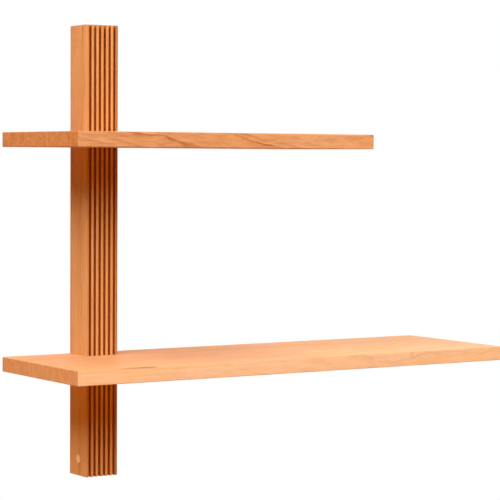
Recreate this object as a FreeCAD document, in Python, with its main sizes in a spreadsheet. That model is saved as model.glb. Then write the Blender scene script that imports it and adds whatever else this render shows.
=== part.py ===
import FreeCAD, Part
import os
import re

import Sketcher
from FreeCAD import Placement, Rotation, Vector

# Spine bookshelf: a fluted post carries two boards of different length in housed joints.
# The post hangs on a wall by a pair of folded clips, and a screw near its foot locks it there.
# Frame: X along the wall, Y into the wall, Z up. The origin is on the wall, at the middle of
# the post's back, so the object reaches from y = 0 towards negative y.

# Driving dimensions in millimetres: name, value and what it measures.
SIZES = (
    ("spine_height", 800, "height of the post"),
    ("spine_width", 63, "width of the post along the wall"),
    ("spine_depth", 62, "depth of the post from the wall"),
    ("spine_round", 1.5, "rounding of the post's edges"),
    ("flute_count", 6, "number of flutes down the front"),
    ("flute_width", 4.6, "width of a flute"),
    ("flute_depth", 8, "depth of a flute"),
    ("flute_ease", 0.5, "chamfer at a flute's mouth"),
    ("shelf_depth", 280, "depth of both boards from the wall"),
    ("shelf_thickness", 26, "thickness of both boards"),
    ("shelf_round", 1.5, "rounding of the boards' edges"),
    ("upper_length", 600, "length of the upper board"),
    ("lower_length", 900, "length of the lower board"),
    ("left_overhang", 134, "reach of both boards past the post's left side"),
    ("bay_height", 368, "clear height between the boards"),
    ("tongue_thickness", 16, "thickness of the tongue round a board's notch"),
    ("housing_depth", 6, "depth of the housings in the post's sides"),
    ("joint_clear", 0.1, "play of a board in its housing"),
    ("bolt_spacing", 28, "distance between the two bolts of a board"),
    ("bolt_diameter", 6, "diameter of a shelf bolt"),
    ("bolt_head", 10, "diameter of a shelf bolt's head"),
    ("bolt_head_height", 6, "height of a shelf bolt's head"),
    ("bolt_key", 5, "hexagon socket of a shelf bolt, across flats"),
    ("bolt_key_depth", 3, "depth of a shelf bolt's socket"),
    ("bolt_seat", 13, "depth of the counterbore that a shelf bolt sits in"),
    ("bolt_end", 2.4, "length of a shelf bolt past its insert"),
    ("bolt_ease", 0.5, "chamfer on a bolt's head and end"),
    ("washer_diameter", 16, "outer diameter of a washer"),
    ("washer_thickness", 1.6, "thickness of a washer"),
    ("seat_clear", 1, "radial room round a washer in its counterbore"),
    ("insert_diameter", 10, "outer diameter of a threaded insert"),
    ("insert_length", 15, "length of a threaded insert"),
    ("insert_ridge", 0.8, "height of an insert's outer ridges"),
    ("ridge_count", 6, "number of an insert's outer ridges"),
    ("thread_clear", 0.1, "radial play between a screw and its thread"),
    ("drill_clear", 0.3, "radial play round a screw in a drilled hole"),
    ("drill_end", 1, "room past the end of a screw in a blind hole"),
    ("wall_row", 24, "distance between the two wall screws of a row"),
    ("wall_hole", 5.5, "diameter of a wall screw's hole"),
    ("hanger_drop", 70, "upper row of wall screws below the post's top"),
    ("clip_width", 40, "width of both clips"),
    ("clip_gauge", 2.5, "thickness of the clips' steel"),
    ("clip_base", 24, "height of the flat part of a clip"),
    ("clip_hook", 8, "height of the lip on the wall clip"),
    ("clip_clear", 0.25, "play between the hooked lips"),
    ("hook_end", 1, "room under the spine clip's lip"),
    ("recess_clear", 1, "room round a clip or bracket in its recess"),
    ("clip_screw", 4, "diameter of a clip screw"),
    ("clip_screw_head", 8, "diameter of a clip screw's head"),
    ("clip_screw_length", 25, "length of a clip screw"),
    ("clip_screw_point", 5, "length of a clip screw's point"),
    ("clip_screw_slot", 1.1, "width and depth of the cross in a clip screw's head"),
    ("bracket_width", 40, "width of the lower bracket"),
    ("bracket_height", 28, "height of the lower bracket"),
    ("bracket_gauge", 4, "thickness of the lower bracket's flange and web"),
    ("bracket_edge", 7, "web of the lower bracket past its threaded hole"),
    ("screw_head_room", 4.25, "depth left for a wall screw's head on the lower bracket"),
    ("web_clear", 0.25, "play of the web in its slot, on each side"),
    ("lock_height", 30, "locking screw above the post's foot"),
    ("lock_setback", 32, "locking screw from the wall"),
    ("lock_diameter", 6, "diameter of the locking screw"),
    ("lock_head", 11, "diameter of the locking screw's head"),
    ("lock_head_height", 4, "height of the locking screw's head"),
    ("lock_key", 4, "hexagon socket of the locking screw, across flats"),
    ("lock_key_depth", 2.5, "depth of the locking screw's socket"),
    ("lock_end", 4, "length of the locking screw past the web"),
    ("plug_diameter", 16, "diameter of the wooden plug"),
    ("plug_length", 8, "length of the wooden plug"),
    ("plug_ease", 0.4, "chamfer on the plug's outer edge"),
    ("plug_gap", 0.5, "room between the plug and the locking screw"),
)

# Sizes that follow from the driving ones, as formulas for the sheet's names.
RIB_WIDTH = "((spine_width - flute_count * flute_width) / (flute_count + 1))"
FLUTE_PITCH = f"({RIB_WIDTH} + flute_width)"
CORE_WIDTH = "(spine_width - 2 * housing_depth)"
CORE_DEPTH = "(spine_depth - flute_depth)"
SHOULDER = "((shelf_thickness - tongue_thickness) / 2)"
SHELF_LEFT = "(-spine_width / 2 - left_overhang)"
UPPER_BOTTOM = "(bay_height / 2)"
LOWER_BOTTOM = "(-bay_height / 2 - shelf_thickness)"
BOLT_LENGTH = f"({CORE_DEPTH} - bolt_seat + washer_thickness + insert_length + bolt_end)"
HANGER_ROW = "(spine_height / 2 - hanger_drop)"
HOOK_FRONT = "(2 * clip_gauge + 2 * clip_clear)"
CLIP_FACE = f"({HOOK_FRONT} + clip_clear)"
CLIP_RECESS = f"({CLIP_FACE} + clip_gauge)"
HOOK_TOP = "(clip_base / 2 + clip_hook)"
CLIP_TOP = f"({HOOK_TOP} + clip_gauge + clip_base)"
CLIP_SCREW_ROW = f"({CLIP_TOP} - clip_base / 2)"
LOCK_ROW = "(lock_height - spine_height / 2)"
BRACKET_DEPTH = "(lock_setback + bracket_edge)"
BRACKET_RECESS = "(bracket_gauge + screw_head_room)"
PLUG_SEAT = "(plug_length + plug_gap + lock_head_height)"
LOCK_LENGTH = f"(spine_width / 2 - {PLUG_SEAT} + bracket_gauge / 2 + lock_end)"

BOARDS = (("upper", "upper_length", UPPER_BOTTOM), ("lower", "lower_length", LOWER_BOTTOM))
SIDES = (("left", "-"), ("right", ""))

# How a piece that is drawn along its own Z is turned: into the post from behind, or from the left.
FROM_BEHIND = Rotation(Vector(1, 0, 0), 90)
FROM_LEFT = Rotation(Vector(0, 1, 0), 90)

TINY = 1e-9
THROUGH_ALL = 1

doc = FreeCAD.newDocument("spine_bookshelf")
sheet = doc.addObject("Spreadsheet::Sheet", "Sizes")
for row, (name, value, meaning) in enumerate(SIZES, start=1):
    sheet.set(f"A{row}", meaning)
    sheet.set(f"B{row}", str(value))
    sheet.setAlias(f"B{row}", name)
doc.recompute()


def cells(formula):
    """The formula with each size's name pointing at its cell in the sheet."""
    return re.sub(r"[a-z]+(?:_[a-z]+)+", r"Sizes.\g<0>", formula)


def bind(thing, prop, formula):
    """Tie one property of a document object to a formula."""
    thing.setExpression(prop, cells(formula))


# Drawing

def new_body(name, turn=Rotation(), x="0", y="0", z="0"):
    """An empty sub-part with its label, turn and place."""
    body = doc.addObject("PartDesign::Body", name)
    body.Label = name
    body.Placement = Placement(Vector(), turn)
    for axis, formula in zip("xyz", (x, y, z)):
        bind(body, f"Placement.Base.{axis}", formula)
    return body


def sketch_on(body, plane_role, shift="0"):
    """A sketch on one of the body's own planes, moved along that plane's normal."""
    sketch = body.newObject("Sketcher::SketchObject", "Outline")
    plane = next(f for f in body.Origin.OriginFeatures if f.Role == plane_role)
    sketch.AttachmentSupport = [(plane, "")]
    sketch.MapMode = "FlatFace"
    bind(sketch, "AttachmentOffset.Base.z", shift)
    return sketch


def tie_point(sketch, geometry, point, formulas, values):
    """Hold one point of a sketch at a place given by two formulas."""
    for kind, axis, formula, value in zip(("DistanceX", "DistanceY"), (-2, -1), formulas, values):
        if abs(value) < TINY:
            sketch.addConstraint(Sketcher.Constraint("PointOnObject", geometry, point, axis))
            continue
        rule = Sketcher.Constraint(kind, -1, 1, geometry, point, value)
        bind(sketch, f"Constraints[{sketch.addConstraint(rule)}]", formula)


def values_of(sketch, formulas):
    """The numbers that a pair of formulas stand for."""
    return [float(sketch.evalExpression(cells(formula))) for formula in formulas]


def draw_outline(sketch, points):
    """A closed outline of straight lines through points given as pairs of formulas."""
    values = [values_of(sketch, point) for point in points]
    corners = [Vector(x, y, 0) for x, y in values]
    following = corners[1:] + corners[:1]
    first = sketch.GeometryCount
    for start, end in zip(corners, following):
        sketch.addGeometry(Part.LineSegment(start, end), False)
    for index, (point, value) in enumerate(zip(points, values)):
        line = first + index
        after = first + (index + 1) % len(points)
        sketch.addConstraint(Sketcher.Constraint("Coincident", line, 2, after, 1))
        tie_point(sketch, line, 1, point, value)


def draw_rectangle(sketch, left, right, bottom, top):
    """A closed rectangle between four formulas."""
    draw_outline(sketch, ((left, bottom), (right, bottom), (right, top), (left, top)))


def draw_circle(sketch, x, y, diameter):
    """A circle given by formulas for its centre and diameter."""
    value = values_of(sketch, (x, y))
    radius = float(sketch.evalExpression(cells(diameter))) / 2
    circle = Part.Circle(Vector(*value, 0), Vector(0, 0, 1), radius)
    index = sketch.addGeometry(circle, False)
    tie_point(sketch, index, 3, (x, y), value)
    rule = sketch.addConstraint(Sketcher.Constraint("Diameter", index, 2 * radius))
    bind(sketch, f"Constraints[{rule}]", diameter)


def draw_hexagon(sketch, across_flats):
    """A hexagon round the sketch's origin."""
    reach = f"{across_flats} / sqrt(3)"
    points = [(f"{reach} * cos({turn})", f"{reach} * sin({turn})") for turn in range(0, 360, 60)]
    draw_outline(sketch, points)


# Shaping

def pad(body, sketch, length, middle=False):
    """Raise a sketch by a length, upwards from its plane or equally on both sides of it."""
    feature = body.newObject("PartDesign::Pad", "Pad")
    feature.Profile = sketch
    feature.Midplane = middle
    bind(feature, "Length", length)
    doc.recompute()
    return feature


def revolve(body, sketch):
    """Turn a sketch once round its own upright axis."""
    feature = body.newObject("PartDesign::Revolution", "Turned")
    feature.Profile = sketch
    feature.ReferenceAxis = (sketch, ["V_Axis"])
    feature.Angle = 360
    doc.recompute()
    return feature


def cut(body, sketch, depth=None, forward=False):
    """Cut a sketch out of a body: right through, or by a depth against or along its normal."""
    before = body.Shape.Volume
    feature = body.newObject("PartDesign::Pocket", "Cut")
    feature.Profile = sketch
    if depth is None:
        feature.Type = THROUGH_ALL
        feature.Midplane = True
    else:
        feature.Reversed = forward
        bind(feature, "Length", depth)
    doc.recompute()
    if body.Shape.Volume > before - TINY:
        raise RuntimeError(f"{body.Label}: {sketch.Name} cuts nothing")
    return feature


def round_all(body, feature, radius):
    """Round every edge of a body's first block."""
    names = [f"Edge{index}" for index in range(1, len(feature.Shape.Edges) + 1)]
    fillet = body.newObject("PartDesign::Fillet", "Rounded")
    fillet.Base = (feature, names)
    bind(fillet, "Radius", radius)
    doc.recompute()


# Wooden pieces

def make_spine():
    """The post: fluted front, a housing for each board, and room behind for the hardware."""
    body = new_body("spine_post")
    plan = sketch_on(body, "XY_Plane")
    draw_rectangle(plan, "-spine_width / 2", "spine_width / 2", "-spine_depth", "0")
    block = pad(body, plan, "spine_height", middle=True)
    round_all(body, block, "spine_round")
    cut_flutes(body)
    for _, _, bottom in BOARDS:
        cut_housing(body, bottom)
        cut_bolt_holes(body, f"({bottom} + shelf_thickness / 2)")
    cut_clip_recess(body)
    cut_bracket_recess(body)
    cut_lock_hole(body)


def cut_flutes(body):
    """One flute at the left, repeated across the front."""
    middle = f"(-spine_width / 2 + {RIB_WIDTH} + flute_width / 2)"
    flute = sketch_on(body, "XY_Plane")
    draw_outline(flute, (
        (f"{middle} - flute_width / 2 - flute_ease", "-spine_depth"),
        (f"{middle} + flute_width / 2 + flute_ease", "-spine_depth"),
        (f"{middle} + flute_width / 2", "-spine_depth + flute_ease"),
        (f"{middle} + flute_width / 2", f"-{CORE_DEPTH}"),
        (f"{middle} - flute_width / 2", f"-{CORE_DEPTH}"),
        (f"{middle} - flute_width / 2", "-spine_depth + flute_ease"),
    ))
    first = cut(body, flute)
    row = body.newObject("PartDesign::LinearPattern", "Flutes")
    row.Originals = [first]
    row.Direction = (flute, ["H_Axis"])
    bind(row, "Length", f"{FLUTE_PITCH} * (flute_count - 1)")
    bind(row, "Occurrences", "flute_count")
    body.Tip = row
    doc.recompute()


def cut_housing(body, board_bottom):
    """A level groove round the front and sides that takes a board's tongue."""
    plan = sketch_on(body, "XY_Plane", f"{board_bottom} + {SHOULDER}")
    core_side = f"{CORE_WIDTH} / 2"
    draw_outline(plan, (
        ("-spine_width / 2", "-spine_depth"),
        ("spine_width / 2", "-spine_depth"),
        ("spine_width / 2", "0"),
        (core_side, "0"),
        (core_side, f"-{CORE_DEPTH}"),
        (f"-{core_side}", f"-{CORE_DEPTH}"),
        (f"-{core_side}", "0"),
        ("-spine_width / 2", "0"),
    ))
    cut(body, plan, "tongue_thickness + joint_clear", forward=True)


def cut_bolt_holes(body, level):
    """A pair of counterbored holes from behind, level with the middle of a board."""
    for diameter, depth in (("bolt_diameter + 2 * drill_clear", CORE_DEPTH),
                            ("washer_diameter + 2 * seat_clear", "bolt_seat")):
        back = sketch_on(body, "XZ_Plane")
        for _, sign in SIDES:
            draw_circle(back, f"{sign}bolt_spacing / 2", level, diameter)
        cut(body, back, depth, forward=True)


def cut_clip_recess(body):
    """The recess behind the head of the post, with drilled holes for the clip's screws."""
    side = "(clip_width / 2 + recess_clear)"
    back = sketch_on(body, "XZ_Plane")
    draw_rectangle(back, f"-{side}", side,
                   f"{HANGER_ROW} - clip_base / 2 - clip_hook - recess_clear",
                   f"{HANGER_ROW} + {CLIP_TOP} + recess_clear")
    cut(body, back, CLIP_RECESS, forward=True)
    drilled = sketch_on(body, "XZ_Plane")
    for _, sign in SIDES:
        draw_circle(drilled, f"{sign}wall_row / 2", f"{HANGER_ROW} + {CLIP_SCREW_ROW}",
                    "clip_screw + 2 * thread_clear")
    cut(body, drilled, f"{CLIP_FACE} + clip_screw_length + drill_end", forward=True)


def cut_bracket_recess(body):
    """The recess behind the foot of the post, with a slot for the bracket's web."""
    bottom = f"{LOCK_ROW} - bracket_height / 2 - clip_hook - recess_clear"
    top = f"{LOCK_ROW} + bracket_height / 2 + recess_clear"
    for side, depth in (("(bracket_width / 2 + recess_clear)", BRACKET_RECESS),
                        ("(bracket_gauge / 2 + web_clear)", f"{BRACKET_DEPTH} + recess_clear")):
        back = sketch_on(body, "XZ_Plane")
        draw_rectangle(back, f"-{side}", side, bottom, top)
        cut(body, back, depth, forward=True)


def cut_lock_hole(body):
    """The hole from the left side for the locking screw and the plug over its head."""
    for diameter, depth in (("lock_diameter + 2 * drill_clear",
                             f"{PLUG_SEAT} + {LOCK_LENGTH} + drill_end"),
                            ("plug_diameter + 2 * thread_clear", PLUG_SEAT)):
        side = sketch_on(body, "YZ_Plane", "-spine_width / 2")
        draw_circle(side, "-lock_setback", LOCK_ROW, diameter)
        cut(body, side, depth, forward=True)


def make_shelf(name, length, bottom):
    """A board whose back notch has a tongue for the post's housing, and holes for two inserts."""
    body = new_body(f"{name}_shelf", z=bottom)
    plan = sketch_on(body, "XY_Plane")
    draw_rectangle(plan, SHELF_LEFT, f"{SHELF_LEFT} + {length}", "-shelf_depth", "0")
    block = pad(body, plan, "shelf_thickness")
    round_all(body, block, "shelf_round")

    tongue_side = f"({CORE_WIDTH} / 2 + joint_clear)"
    tongue = sketch_on(body, "XY_Plane")
    draw_rectangle(tongue, f"-{tongue_side}", tongue_side, f"-{CORE_DEPTH}", "0")
    cut(body, tongue)

    notch_side = "(spine_width / 2 + joint_clear)"
    for level, forward in (("shelf_thickness", False), ("0", True)):
        notch = sketch_on(body, "XY_Plane", level)
        draw_rectangle(notch, f"-{notch_side}", notch_side, "-spine_depth - joint_clear", "0")
        cut(body, notch, SHOULDER, forward)

    for diameter, depth in (("insert_diameter + 2 * thread_clear", "insert_length"),
                            ("bolt_diameter + 2 * drill_clear", "insert_length + bolt_end + drill_end")):
        drilled = sketch_on(body, "XZ_Plane", CORE_DEPTH)
        for _, sign in SIDES:
            draw_circle(drilled, f"{sign}bolt_spacing / 2", "shelf_thickness / 2", diameter)
        cut(body, drilled, depth, forward=True)


def make_plug():
    """A plain wooden plug, flush with the post's left side, that covers the locking screw."""
    body = new_body("screw_plug", FROM_LEFT, "-spine_width / 2", "-lock_setback", LOCK_ROW)
    half = sketch_on(body, "XZ_Plane")
    draw_outline(half, (
        ("0", "0"),
        ("plug_diameter / 2 - plug_ease", "0"),
        ("plug_diameter / 2", "plug_ease"),
        ("plug_diameter / 2", "plug_length"),
        ("0", "plug_length"),
    ))
    revolve(body, half)


# Fasteners, drawn along their own Z with the head's seat at zero

def make_socket_screw(body, thread, head, head_height, length, key, key_depth):
    """A screw with a round head that has a hexagon socket."""
    half = sketch_on(body, "XZ_Plane")
    draw_outline(half, (
        ("0", f"-{head_height}"),
        (f"{head} / 2 - bolt_ease", f"-{head_height}"),
        (f"{head} / 2", f"-{head_height} + bolt_ease"),
        (f"{head} / 2", "0"),
        (f"{thread} / 2", "0"),
        (f"{thread} / 2", f"{length} - bolt_ease"),
        (f"{thread} / 2 - bolt_ease", length),
        ("0", length),
    ))
    revolve(body, half)
    socket = sketch_on(body, "XY_Plane", f"-{head_height}")
    draw_hexagon(socket, key)
    cut(body, socket, key_depth, forward=True)


def make_shelf_fixing(board, bottom, side, sign):
    """One bolt with its washer behind the post, and the insert in the board that takes it."""
    x = f"{sign}bolt_spacing / 2"
    z = f"{bottom} + shelf_thickness / 2"

    bolt = new_body(f"{board}_{side}_bolt", FROM_BEHIND, x, "washer_thickness - bolt_seat", z)
    make_socket_screw(bolt, "bolt_diameter", "bolt_head", "bolt_head_height", BOLT_LENGTH,
                      "bolt_key", "bolt_key_depth")

    washer = new_body(f"{board}_{side}_washer", FROM_BEHIND, x, "-bolt_seat", z)
    ring = sketch_on(washer, "XZ_Plane")
    draw_rectangle(ring, "bolt_diameter / 2 + drill_clear", "washer_diameter / 2",
                   "-washer_thickness", "0")
    revolve(washer, ring)

    insert = new_body(f"{board}_{side}_insert", FROM_BEHIND, x, f"-{CORE_DEPTH}", z)
    half = sketch_on(insert, "XZ_Plane")
    bore = "bolt_diameter / 2 + thread_clear"
    root = "insert_diameter / 2 - insert_ridge"
    points = [(bore, "0")]
    for ridge in range(int(sheet.ridge_count)):
        points.append((root, f"insert_length / ridge_count * {ridge}"))
        points.append(("insert_diameter / 2", f"insert_length / ridge_count * ({ridge} + 1 / 2)"))
    points += [(root, "insert_length"), (bore, "insert_length")]
    draw_outline(half, points)
    revolve(insert, half)


def make_clip_screw(side, sign):
    """A countersunk wood screw with a cross in its head."""
    body = new_body(f"{side}_clip_screw", FROM_BEHIND, f"{sign}wall_row / 2", f"-{CLIP_FACE}",
                    f"{HANGER_ROW} + {CLIP_SCREW_ROW}")
    half = sketch_on(body, "XZ_Plane")
    draw_outline(half, (
        ("0", "0"),
        ("clip_screw_head / 2", "0"),
        ("clip_screw / 2", "clip_screw_head / 2 - clip_screw / 2"),
        ("clip_screw / 2", "clip_screw_length - clip_screw_point"),
        ("0", "clip_screw_length"),
    ))
    revolve(body, half)
    for wide, high in (("clip_screw", "clip_screw_slot"), ("clip_screw_slot", "clip_screw")):
        slot = sketch_on(body, "XY_Plane")
        draw_rectangle(slot, f"-{wide} / 2", f"{wide} / 2", f"-{high} / 2", f"{high} / 2")
        cut(body, slot, "clip_screw_slot", forward=True)


# Wall hardware, drawn with its row of wall screws at zero height

def make_wall_clip():
    """The clip on the wall: a flat base with a lip that stands up in front of it."""
    body = new_body("wall_clip", z=HANGER_ROW)
    side = sketch_on(body, "YZ_Plane")
    hook_back = "-clip_gauge - 2 * clip_clear"
    draw_outline(side, (
        ("0", "-clip_base / 2"),
        ("0", "clip_base / 2"),
        (hook_back, "clip_base / 2"),
        (hook_back, HOOK_TOP),
        (f"-{HOOK_FRONT}", HOOK_TOP),
        (f"-{HOOK_FRONT}", "clip_base / 2 - clip_gauge"),
        ("-clip_gauge", "clip_base / 2 - clip_gauge"),
        ("-clip_gauge", "-clip_base / 2"),
    ))
    pad(body, side, "clip_width", middle=True)
    cut_wall_holes(body, "clip_gauge")


def cut_wall_holes(body, thickness):
    """A row of two holes for wall screws, through the part that lies on the wall."""
    back = sketch_on(body, "XZ_Plane")
    for _, sign in SIDES:
        draw_circle(back, f"{sign}wall_row / 2", "0", "wall_hole")
    cut(body, back, thickness, forward=True)


def make_spine_clip():
    """The clip in the post: its lip hangs down behind the lip of the wall clip."""
    body = new_body("spine_clip", z=HANGER_ROW)
    side = sketch_on(body, "YZ_Plane")
    lip_front = "-clip_gauge - clip_clear"
    lip_end = f"{HOOK_TOP} - clip_hook + hook_end"
    draw_outline(side, (
        (f"-{CLIP_RECESS}", HOOK_TOP),
        (lip_front, HOOK_TOP),
        (lip_front, lip_end),
        ("-clip_clear", lip_end),
        ("-clip_clear", f"{HOOK_TOP} + clip_gauge"),
        (f"-{CLIP_FACE}", f"{HOOK_TOP} + clip_gauge"),
        (f"-{CLIP_FACE}", CLIP_TOP),
        (f"-{CLIP_RECESS}", CLIP_TOP),
    ))
    pad(body, side, "clip_width", middle=True)
    cut_countersinks(body)


def cut_countersinks(body):
    """Two holes, countersunk on the wall's side, for the clip's screws."""
    face = sketch_on(body, "XZ_Plane", CLIP_FACE)
    for _, sign in SIDES:
        draw_circle(face, f"{sign}wall_row / 2", CLIP_SCREW_ROW, "clip_screw + 2 * thread_clear")
    doc.recompute()
    before = body.Shape.Volume
    hole = body.newObject("PartDesign::Hole", "Countersunk")
    hole.Profile = face
    hole.Reversed = True
    hole.DepthType = "ThroughAll"
    hole.HoleCutType = "Countersink"
    hole.HoleCutCustomValues = True
    hole.HoleCutCountersinkAngle = 90
    bind(hole, "Diameter", "clip_screw + 2 * thread_clear")
    bind(hole, "HoleCutDiameter", "clip_screw_head + 2 * thread_clear")
    doc.recompute()
    if body.Shape.Volume > before - TINY:
        raise RuntimeError("the clip's countersinks cut nothing")


def make_lower_bracket():
    """A T section: its flange lies on the wall, and its web takes the locking screw."""
    body = new_body("lower_wall_bracket", z=LOCK_ROW)
    plan = sketch_on(body, "XY_Plane")
    web = "bracket_gauge / 2"
    draw_outline(plan, (
        ("-bracket_width / 2", "0"),
        ("-bracket_width / 2", "-bracket_gauge"),
        (f"-{web}", "-bracket_gauge"),
        (f"-{web}", f"-{BRACKET_DEPTH}"),
        (web, f"-{BRACKET_DEPTH}"),
        (web, "-bracket_gauge"),
        ("bracket_width / 2", "-bracket_gauge"),
        ("bracket_width / 2", "0"),
    ))
    pad(body, plan, "bracket_height", middle=True)
    cut_wall_holes(body, "bracket_gauge")
    threaded = sketch_on(body, "YZ_Plane")
    draw_circle(threaded, "-lock_setback", "0", "lock_diameter + 2 * thread_clear")
    cut(body, threaded)


def make_locking_screw():
    """The screw through the post's left side into the bracket's web."""
    body = new_body("locking_screw", FROM_LEFT, f"-spine_width / 2 + {PLUG_SEAT}", "-lock_setback", LOCK_ROW)
    make_socket_screw(body, "lock_diameter", "lock_head", "lock_head_height", LOCK_LENGTH,
                      "lock_key", "lock_key_depth")


# The whole shelf

def build():
    """Make every sub-part."""
    make_spine()
    make_plug()
    for board, length, bottom in BOARDS:
        make_shelf(board, length, bottom)
        for side, sign in SIDES:
            make_shelf_fixing(board, bottom, side, sign)
    make_wall_clip()
    make_spine_clip()
    for side, sign in SIDES:
        make_clip_screw(side, sign)
    make_lower_bracket()
    make_locking_screw()


def write_parts():
    """Check every object of the document, then write one file for each sub-part."""
    doc.recompute()
    for thing in doc.Objects:
        if {"Invalid", "Error"} & set(thing.State):
            raise RuntimeError(f"{thing.Name} failed: {thing.State}")
    bodies = [thing for thing in doc.Objects if thing.TypeId == "PartDesign::Body"]
    for body in bodies:
        if body.Shape.isNull() or not body.Shape.isValid() or len(body.Shape.Solids) != 1:
            raise RuntimeError(f"{body.Label} is not one valid solid")
    os.makedirs("parts", exist_ok=True)
    for body in bodies:
        body.Shape.exportStep(f"parts/{body.Label}.step")
        print(f"{body.Label}: {body.Shape.Volume / 1000:.2f} cm3")


build()
write_parts()
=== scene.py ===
"""Looks for the spine bookshelf: a fluted post, two boards and the hardware behind them.

The file is laid out as an add-on and run as a script. Every length is in metres, in the frame of
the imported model: X along the wall, Y into the wall, Z up, the origin at the middle of the post's back.
"""
import math
from typing import NamedTuple

import bpy
from bpy.props import FloatProperty, FloatVectorProperty, IntProperty, PointerProperty
from mathutils import Matrix, Vector


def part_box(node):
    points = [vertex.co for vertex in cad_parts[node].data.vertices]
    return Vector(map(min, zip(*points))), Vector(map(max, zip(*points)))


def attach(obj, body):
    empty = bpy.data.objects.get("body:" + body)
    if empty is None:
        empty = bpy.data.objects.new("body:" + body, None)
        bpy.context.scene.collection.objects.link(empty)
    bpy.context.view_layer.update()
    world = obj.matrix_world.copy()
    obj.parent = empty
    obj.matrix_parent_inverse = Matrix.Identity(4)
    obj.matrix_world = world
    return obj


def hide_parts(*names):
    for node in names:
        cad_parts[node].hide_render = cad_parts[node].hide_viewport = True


bl_info = {
    "name": "Spine bookshelf",
    "version": (1, 0, 0),
    "blender": (4, 5, 0),
    "location": "View3D > Sidebar > Bookshelf",
    "description": "Builds the fluted post, boards, hardware and studio of a wall-hung bookshelf",
    "category": "Object",
}

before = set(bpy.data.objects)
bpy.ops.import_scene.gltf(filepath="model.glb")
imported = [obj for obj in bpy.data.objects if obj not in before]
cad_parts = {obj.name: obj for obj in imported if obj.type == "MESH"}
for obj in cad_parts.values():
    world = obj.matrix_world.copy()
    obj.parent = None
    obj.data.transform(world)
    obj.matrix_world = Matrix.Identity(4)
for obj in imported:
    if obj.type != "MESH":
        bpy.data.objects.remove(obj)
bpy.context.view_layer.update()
BODY = "root"
BOARDS = ("upper_shelf", "lower_shelf")
LEVELS = ("upper", "lower")
SIDES = ("left", "right")

# Reach of the post's cutters, sides of round things and least angle of a sharp edge
WELL_CLEAR = 0.1
ROUND_SIDES = 48
SHARP_ANGLE = math.radians(34)


# Node trees written as sums

class Wire:
    """An output of a node that takes part in sums, each of which adds a Math node."""

    def __init__(self, graph, socket):
        self.graph = graph
        self.socket = socket

    def out(self, name):
        """Another output of the same node."""
        return Wire(self.graph, self.socket.node.outputs[name])

    def math(self, operation, *others):
        inputs = dict(enumerate((self, *others)))
        return self.graph.add("ShaderNodeMath", inputs, operation=operation)

    def __add__(self, other):
        return self.math("ADD", other)

    def __sub__(self, other):
        return self.math("SUBTRACT", other)

    def __rsub__(self, other):
        return self.graph.add("ShaderNodeMath", {0: other, 1: self}, operation="SUBTRACT")

    def __mul__(self, other):
        return self.math("MULTIPLY", other)

    def __truediv__(self, other):
        return self.math("DIVIDE", other)

    def __pow__(self, other):
        return self.math("POWER", other)

    def __mod__(self, other):
        return self.math("FLOORED_MODULO", other)

    def __neg__(self):
        return self * -1

    def __abs__(self):
        return self.math("ABSOLUTE")

    __radd__ = __add__
    __rmul__ = __mul__

    def floor(self):
        return self.math("FLOOR")

    def smallest(self, other):
        return self.math("MINIMUM", other)

    def largest(self, other):
        return self.math("MAXIMUM", other)

    def below(self, limit):
        return self.math("LESS_THAN", limit)

    def above(self, limit):
        return self.math("GREATER_THAN", limit)

    def rise(self, low, high):
        """0 below low, 1 above high and a smooth rise between them."""
        return self.graph.add("ShaderNodeMapRange", {"Value": self, "From Min": low, "From Max": high},
                              interpolation_type="SMOOTHSTEP")

    def hump(self, start, full, fall, stop):
        """0 outside start and stop, 1 from full to fall, and smooth between them."""
        return self.rise(start, full) * (1 - self.rise(fall, stop))


class Graph:
    """One node tree. add() makes any node from its type, its sockets' values or links and its settings."""

    def __init__(self, tree):
        self.tree = tree

    def add(self, kind, inputs=None, **settings):
        node = self.tree.nodes.new(kind)
        for name, value in settings.items():
            setattr(node, name, value)
        for name, value in (inputs or {}).items():
            socket = self.input(node, name)
            for item in value if isinstance(value, list) else [value]:
                if isinstance(item, Wire):
                    self.tree.links.new(item.socket, socket)
                else:
                    socket.default_value = item
        shown = [socket for socket in node.outputs if socket.enabled]
        return Wire(self, shown[0]) if shown else None

    def input(self, node, name):
        """An input by its number, or the first shown one of that name."""
        if isinstance(name, int):
            return node.inputs[name]
        return next(s for s in node.inputs if s.name == name and s.enabled)

    def vector(self, x, y, z):
        return self.add("ShaderNodeCombineXYZ", {"X": x, "Y": y, "Z": z})

    def split(self, vector):
        return self.add("ShaderNodeSeparateXYZ", {0: vector})

    def mix(self, factor, first, second, blend="MIX"):
        """A colour between two colours, or their product."""
        return self.add("ShaderNodeMix", {"Factor": factor, "A": first, "B": second},
                        data_type="RGBA", blend_type=blend)

    def tint(self, share, colour, tint):
        """A colour that takes on a tint where share is 1."""
        return self.mix(share, colour, (*tint, 1.0), "MULTIPLY")

    def noise(self, vector, detail=2.0, roughness=0.5):
        return self.add("ShaderNodeTexNoise",
                        {"Vector": vector, "Scale": 1.0, "Detail": detail, "Roughness": roughness})

    def chance(self, value):
        """Three even random numbers that stay the same for the same value."""
        dice = self.add("ShaderNodeTexWhiteNoise", {"W": value}, noise_dimensions="1D")
        parts = self.add("ShaderNodeSeparateColor", {0: dice.out("Color")})
        return parts.out("Red"), parts.out("Green"), parts.out("Blue")

    def move(self, geometry, shift, turn=(0.0, 0.0, 0.0)):
        return self.add("GeometryNodeTransform",
                        {"Geometry": geometry, "Translation": shift, "Rotation": turn})

    def join(self, *parts):
        return self.add("GeometryNodeJoinGeometry", {"Geometry": list(parts)})

    def cut(self, body, cutters):
        return self.add("GeometryNodeMeshBoolean", {"Mesh 1": body, "Mesh 2": cutters},
                        operation="DIFFERENCE", solver="EXACT")


# Finishes

def empty_graph(owner):
    """The node tree of a material or a world, without nodes."""
    owner.use_nodes = True
    owner.node_tree.nodes.clear()
    return Graph(owner.node_tree)


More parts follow.
